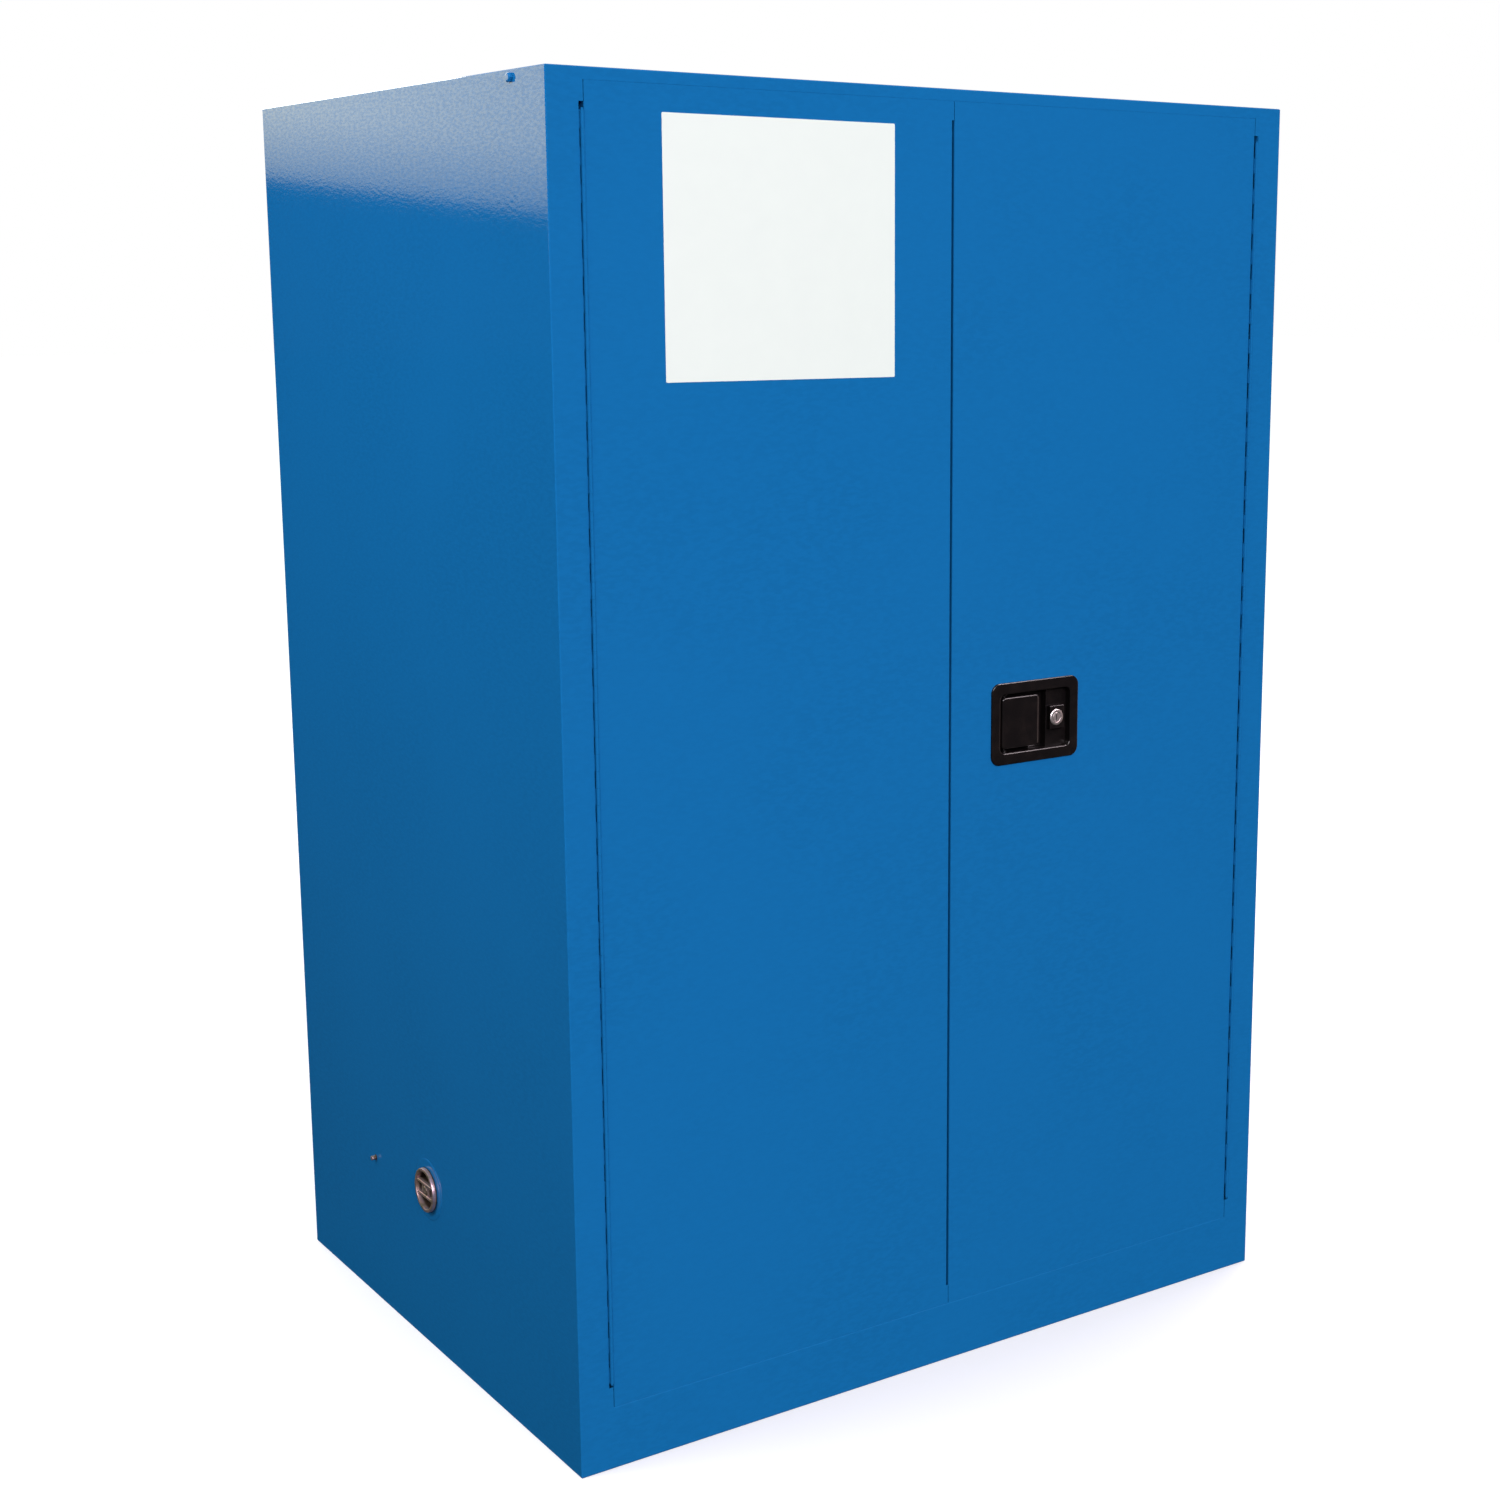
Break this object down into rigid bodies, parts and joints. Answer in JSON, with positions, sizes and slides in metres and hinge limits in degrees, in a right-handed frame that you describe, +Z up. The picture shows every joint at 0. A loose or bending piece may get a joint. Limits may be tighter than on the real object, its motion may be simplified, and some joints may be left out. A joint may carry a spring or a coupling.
{
  "type": "corrosives storage cabinet",
  "caption": "Double-walled steel storage cabinet for corrosive liquids: two doors on continuous hinges, a flush paddle latch with lock, adjustable shelves, a spill sump and side vents.",
  "frame": {"origin": "on the floor, under the middle of the cabinet", "axes": "+X to the right seen from in front, +Y from the doors to the back, +Z up"},
  "size_m": [1.104, 0.8645, 1.65],
  "materials": {
    "blue_coat": "powder-coated steel, gloss with slight orange peel",
    "black_coat": "satin black coated die casting",
    "zinc_plate": "bright zinc-plated steel",
    "galvanised": "hot-dip galvanised sheet",
    "lock_nickel": "satin nickel plate",
    "yellow_zinc": "yellow-passivated zinc on steel",
    "gasket_rubber": "matt black nitrile",
    "screen_steel": "woven stainless screen",
    "label_vinyl": "plain white self-adhesive vinyl, matt"
  },
  "bodies": {
    "cabinet": {"left_side_panel": "blue_coat", "right_side_panel": "blue_coat", "back_panel": "blue_coat", "top_panel": "blue_coat", "bottom_panel": "blue_coat", "front_sill": "blue_coat", "left_jamb": "blue_coat", "right_jamb": "blue_coat", "header_jamb": "blue_coat", "header_strike": "zinc_plate", "sill_strike": "zinc_plate", "left_liner": "blue_coat", "right_liner": "blue_coat", "back_liner": "blue_coat", "ceiling_liner": "blue_coat", "sump_tray": "blue_coat", "shelf_standards": "galvanised", "shelf_hooks": "galvanised", "vent_sockets": "blue_coat", "flame_arresters": "screen_steel", "earthing_stud": "yellow_zinc", "panel_bolts": "blue_coat", "foot_nuts": "zinc_plate", "left_hinge_frame_leaf": "blue_coat", "right_hinge_frame_leaf": "blue_coat", "hinge_pins": "blue_coat"},
    "left_door": {"left_door_skin": "blue_coat", "left_door_liner": "blue_coat", "left_hinge_door_leaf": "blue_coat", "left_door_keeper": "zinc_plate"},
    "right_door": {"right_door_skin": "blue_coat", "right_door_liner": "blue_coat", "right_hinge_door_leaf": "blue_coat", "rod_guides": "zinc_plate", "latch_pan": "black_coat", "latch_clamps": "zinc_plate", "paddle_pin": "black_coat", "rotor_post": "zinc_plate", "lock_body": "lock_nickel", "lock_nut": "zinc_plate", "paddle_spring": "zinc_plate"},
    "paddle": {"latch_paddle": "black_coat"},
    "rotor": {"latch_rotor": "zinc_plate"},
    "upper_rod": {"upper_rod": "zinc_plate", "rod_lug": "zinc_plate"},
    "lower_rod": {"lower_rod": "zinc_plate"},
    "centre_bolt": {"centre_bolt": "zinc_plate"},
    "lock_plug": {"lock_plug": "lock_nickel", "lock_cam": "zinc_plate"},
    "lower_shelf": {"lower_shelf": "galvanised"},
    "upper_shelf": {"upper_shelf": "galvanised"},
    "left_vent_gasket": {"left_vent_gasket": "gasket_rubber"},
    "left_vent_bung": {"left_vent_bung": "yellow_zinc"},
    "right_vent_gasket": {"right_vent_gasket": "gasket_rubber"},
    "right_vent_bung": {"right_vent_bung": "yellow_zinc"},
    "foot_front_left": {"levelling_foot_front_left": "zinc_plate"},
    "foot_front_right": {"levelling_foot_front_right": "zinc_plate"},
    "foot_rear_left": {"levelling_foot_rear_left": "zinc_plate"},
    "foot_rear_right": {"levelling_foot_rear_right": "zinc_plate"}
  },
  "joints": [
    {"name": "left_door_hinge", "type": "hinge", "parent": "cabinet", "child": "left_door", "pos_m": [-0.502, -0.431, 0.858], "axis": [0, 0, -1], "range_deg": [0, 180]},
    {"name": "right_door_hinge", "type": "hinge", "parent": "cabinet", "child": "right_door", "pos_m": [0.502, -0.431, 0.858], "axis": [0, 0, 1], "range_deg": [0, 180]},
    {"name": "paddle_pivot", "type": "hinge", "parent": "right_door", "child": "paddle", "pos_m": [0.092, -0.422, 0.858], "axis": [0, 0, -1], "range_deg": [0, 35], "stiffness_Nm_per_rad": 1, "springref_deg": -17.19, "deforming": ["paddle_spring"]},
    {"name": "rotor_turn", "type": "hinge", "parent": "right_door", "child": "rotor", "pos_m": [0.0985, -0.4044, 0.84], "axis": [0, 1, 0], "range_deg": [0, 35]},
    {"name": "upper_rod_slide", "type": "slide", "parent": "right_door", "child": "upper_rod", "axis": [0, 0, -1], "range_m": [0, 0.01809]},
    {"name": "lower_rod_slide", "type": "slide", "parent": "right_door", "child": "lower_rod", "axis": [0, 0, 1], "range_m": [0, 0.01809]},
    {"name": "centre_bolt_slide", "type": "slide", "parent": "right_door", "child": "centre_bolt", "axis": [1, 0, 0], "range_m": [0, 0.01809]},
    {"name": "lock_turn", "type": "hinge", "parent": "right_door", "child": "lock_plug", "pos_m": [0.173, -0.43, 0.858], "axis": [0, -1, 0], "range_deg": [-90, 0]},
    {"name": "lower_shelf_lift", "type": "slide", "parent": "cabinet", "child": "lower_shelf", "axis": [0, 0, 1], "range_m": [0, 0.02]},
    {"name": "upper_shelf_lift", "type": "slide", "parent": "cabinet", "child": "upper_shelf", "axis": [0, 0, 1], "range_m": [0, 0.02]},
    {"name": "left_gasket_slide", "type": "slide", "parent": "cabinet", "child": "left_vent_gasket", "axis": [-1, 0, 0], "range_m": [0, 0.0111]},
    {"name": "left_bung_screw", "type": "hinge", "parent": "left_vent_gasket", "child": "left_vent_bung", "pos_m": [-0.546, 0.002, 0.225], "axis": [-1, 0, 0], "range_deg": [0, 1800]},
    {"name": "right_gasket_slide", "type": "slide", "parent": "cabinet", "child": "right_vent_gasket", "axis": [1, 0, 0], "range_m": [0, 0.0111]},
    {"name": "right_bung_screw", "type": "hinge", "parent": "right_vent_gasket", "child": "right_vent_bung", "pos_m": [0.546, 0.002, 1.431], "axis": [1, 0, 0], "range_deg": [0, 1800]},
    {"name": "foot_front_left_travel", "type": "slide", "parent": "cabinet", "child": "foot_front_left", "axis": [0, 0, -1], "range_m": [0, 0.02]},
    {"name": "foot_front_right_travel", "type": "slide", "parent": "cabinet", "child": "foot_front_right", "axis": [0, 0, -1], "range_m": [0, 0.02]},
    {"name": "foot_rear_left_travel", "type": "slide", "parent": "cabinet", "child": "foot_rear_left", "axis": [0, 0, -1], "range_m": [0, 0.02]},
    {"name": "foot_rear_right_travel", "type": "slide", "parent": "cabinet", "child": "foot_rear_right", "axis": [0, 0, -1], "range_m": [0, 0.02]}
  ],
  "couplings": [
    {"joint": "rotor_turn", "follows": "paddle_pivot", "ratio": 1},
    {"joint": "upper_rod_slide", "follows": "paddle_pivot", "m_per_rad": 0.029536},
    {"joint": "lower_rod_slide", "follows": "paddle_pivot", "m_per_rad": 0.029536},
    {"joint": "centre_bolt_slide", "follows": "paddle_pivot", "m_per_rad": 0.029536},
    {"joint": "left_gasket_slide", "follows": "left_bung_screw", "m_per_rad": 0.00035014},
    {"joint": "right_gasket_slide", "follows": "right_bung_screw", "m_per_rad": 0.00035014}
  ]
}
